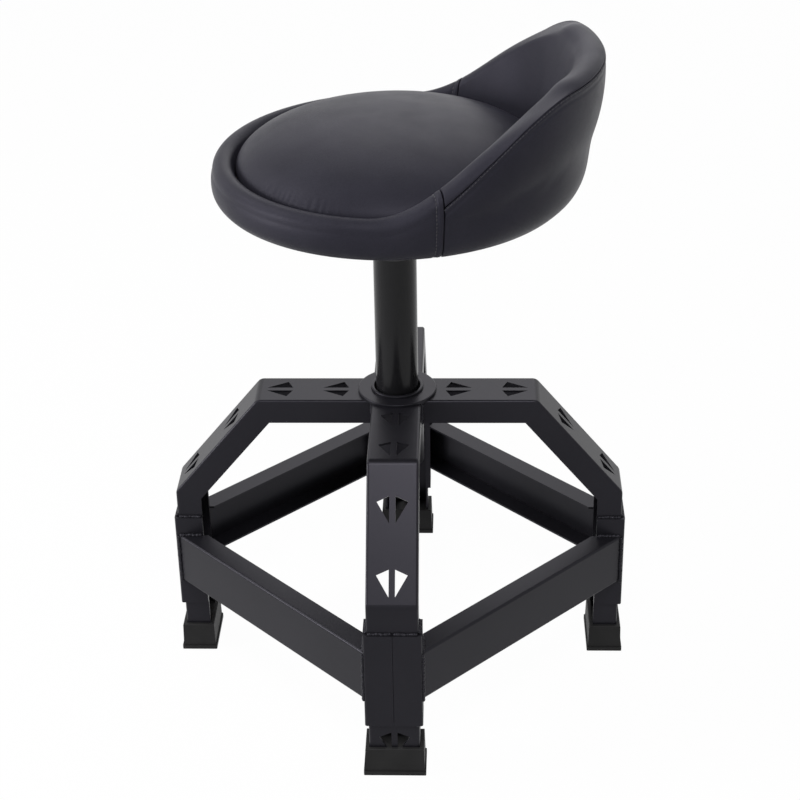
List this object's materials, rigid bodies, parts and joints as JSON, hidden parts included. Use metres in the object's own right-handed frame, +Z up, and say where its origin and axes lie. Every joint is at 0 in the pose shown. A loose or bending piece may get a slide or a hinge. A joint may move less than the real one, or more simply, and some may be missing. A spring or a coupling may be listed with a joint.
{
  "type": "shop stool",
  "caption": "Height-adjustable swivel shop stool: crossed pressed-steel legs on rubber feet tied by stretchers, a gas-lift column, and a round padded seat with a low wrap-round back.",
  "frame": {"origin": "on the floor under the centre of the column, midway between the four feet", "axes": "+Z up along the column; one leg along each of +X, +Y, -X and -Y; the seat's back faces nearly +X"},
  "size_m": [0.5546, 0.5546, 0.7808],
  "materials": {
    "frame_paint": "satin black powder coat over pressed steel",
    "column_paint": "semi-gloss black enamel",
    "foot_rubber": "moulded black rubber",
    "black_plastic": "moulded black nylon",
    "bright_steel": "ground steel",
    "zinc_steel": "zinc plated",
    "plywood": "bent and flat plywood, sanded",
    "lining_cloth": "black non-woven lining",
    "seat_leather": "black coated leather, fine grain, matt"
  },
  "bodies": {
    "base": {"leg_right": "frame_paint", "leg_back": "frame_paint", "leg_left": "frame_paint", "leg_front": "frame_paint", "bracket_right_a": "frame_paint", "bracket_right_b": "frame_paint", "bracket_back_a": "frame_paint", "bracket_back_b": "frame_paint", "bracket_left_a": "frame_paint", "bracket_left_b": "frame_paint", "bracket_front_a": "frame_paint", "bracket_front_b": "frame_paint", "stretcher_back_right": "frame_paint", "stretcher_back_left": "frame_paint", "stretcher_front_left": "frame_paint", "stretcher_front_right": "frame_paint", "foot_cap_right": "foot_rubber", "foot_cap_back": "foot_rubber", "foot_cap_left": "foot_rubber", "foot_cap_front": "foot_rubber", "bracket_welds": "frame_paint", "stretcher_welds": "frame_paint", "hub_welds": "frame_paint", "hub_sleeve": "frame_paint", "hub_ring": "frame_paint", "column_tube": "column_paint", "column_end_plate": "bright_steel", "guide_bush": "black_plastic", "lower_race": "bright_steel", "bearing_balls": "bright_steel", "ball_cage": "black_plastic"},
    "spindle": {"upper_race": "bright_steel", "piston_rod": "bright_steel", "rod_clip": "bright_steel", "bumper": "foot_rubber", "piston": "bright_steel", "piston_seal": "foot_rubber", "rod_nut": "bright_steel"},
    "seat": {"gas_spring_tube": "bright_steel", "rod_guide": "bright_steel", "taper_socket": "column_paint", "mechanism_bracket": "column_paint", "bracket_washers": "zinc_steel", "bracket_screws": "zinc_steel", "tee_nuts": "zinc_steel", "lever_pin": "bright_steel", "pin_spacers": "zinc_steel", "seat_board": "plywood", "underside_cloth": "lining_cloth", "seat_cushion": "seat_leather", "ring_bolster": "seat_leather", "back_inner_pad": "seat_leather", "back_outer_pad": "seat_leather", "back_shell": "plywood"},
    "lever": {"height_lever": "column_paint", "lever_grip": "black_plastic"},
    "button": {"release_button": "bright_steel"}
  },
  "joints": [
    {"name": "seat_swivel", "type": "hinge", "parent": "base", "child": "spindle", "pos_m": [0, 0, 0.27], "axis": [0, 0, 1], "continuous": true},
    {"name": "seat_lift", "type": "slide", "parent": "spindle", "child": "seat", "axis": [0, 0, 1], "range_m": [0, 0.11]},
    {"name": "lever_lift", "type": "hinge", "parent": "seat", "child": "lever", "pos_m": [0.00188, 0.01991, 0.5962], "axis": [0.9956, -0.0941, 0], "range_deg": [0, 7.16], "stiffness_Nm_per_rad": 1.5},
    {"name": "button_press", "type": "slide", "parent": "seat", "child": "button", "axis": [0, 0, -1], "range_m": [0, 0.0026], "stiffness_N_per_m": 4000}
  ],
  "couplings": [
    {"joint": "button_press", "follows": "lever_lift", "m_per_rad": 0.02}
  ]
}
